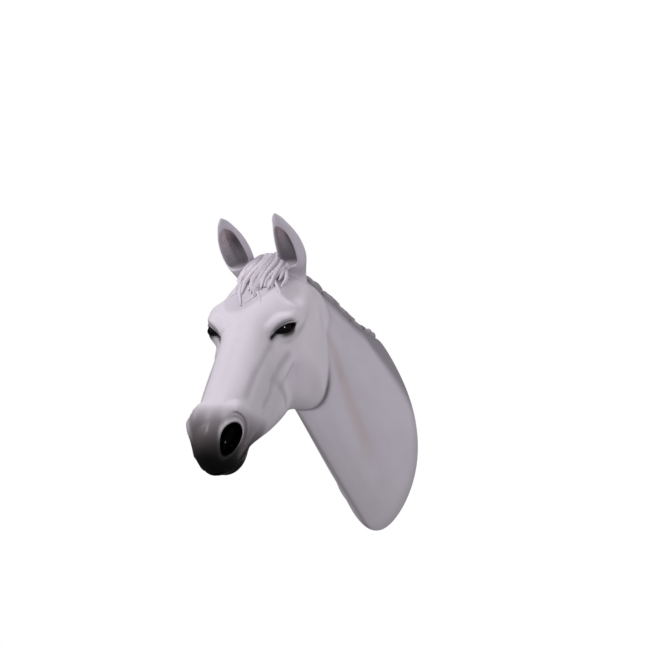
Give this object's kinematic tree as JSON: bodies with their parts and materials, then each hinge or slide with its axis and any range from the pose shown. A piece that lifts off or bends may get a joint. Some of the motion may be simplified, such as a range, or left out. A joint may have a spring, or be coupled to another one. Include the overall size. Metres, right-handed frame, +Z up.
{
  "type": "wall mounted horse head bust",
  "caption": "Hollow horse head and neck in painted glass-fibre, cut flat at the neck, with a back board and swinging D-rings for hanging on a wall.",
  "frame": {"origin": "centre of the back board's rear face, which lies on the wall", "axes": "+Y out of the rear face into the wall, so the head looks towards -Y; +Z up; +X the horse's left"},
  "size_m": [0.3646, 0.7232, 0.7272],
  "materials": {
    "shell": "semi-gloss off-white paint, grey to black at the muzzle",
    "ear": "semi-gloss off-white paint, grey-brown inside",
    "forelock": "semi-gloss light grey paint",
    "mane": "semi-gloss dark grey paint over light grey",
    "eye": "high gloss black-brown",
    "plywood": "bare plywood",
    "timber": "planed softwood",
    "screw_steel": "zinc plated",
    "hanger_steel": "zinc plated",
    "ring_steel": "zinc plated wire"
  },
  "bodies": {
    "bust": {"shell_left": "shell", "shell_right": "shell", "ear_left": "ear", "ear_right": "ear", "forelock": "forelock", "mane": "mane", "eye_left": "eye", "eye_right": "eye", "back_board": "plywood", "hanger_batten": "timber", "fixing_block_1": "timber", "fixing_block_2": "timber", "fixing_block_3": "timber", "fixing_block_4": "timber", "fixing_block_5": "timber", "fixing_block_6": "timber", "board_screw_1": "screw_steel", "board_screw_2": "screw_steel", "board_screw_3": "screw_steel", "board_screw_4": "screw_steel", "board_screw_5": "screw_steel", "board_screw_6": "screw_steel", "hanger_plate_left": "hanger_steel", "hanger_screw_left_upper": "screw_steel", "hanger_screw_left_lower": "screw_steel", "hanger_plate_right": "hanger_steel", "hanger_screw_right_upper": "screw_steel", "hanger_screw_right_lower": "screw_steel"},
    "ring_left": {"d_ring_left": "ring_steel"},
    "ring_right": {"d_ring_right": "ring_steel"}
  },
  "joints": [
    {"name": "ring_left_swing", "type": "hinge", "parent": "bust", "child": "ring_left", "pos_m": [0.042, -0.0082, 0.104], "axis": [-1, 0, 0], "range_deg": [0, 165]},
    {"name": "ring_right_swing", "type": "hinge", "parent": "bust", "child": "ring_right", "pos_m": [-0.042, -0.0082, 0.104], "axis": [-1, 0, 0], "range_deg": [0, 165]}
  ]
}
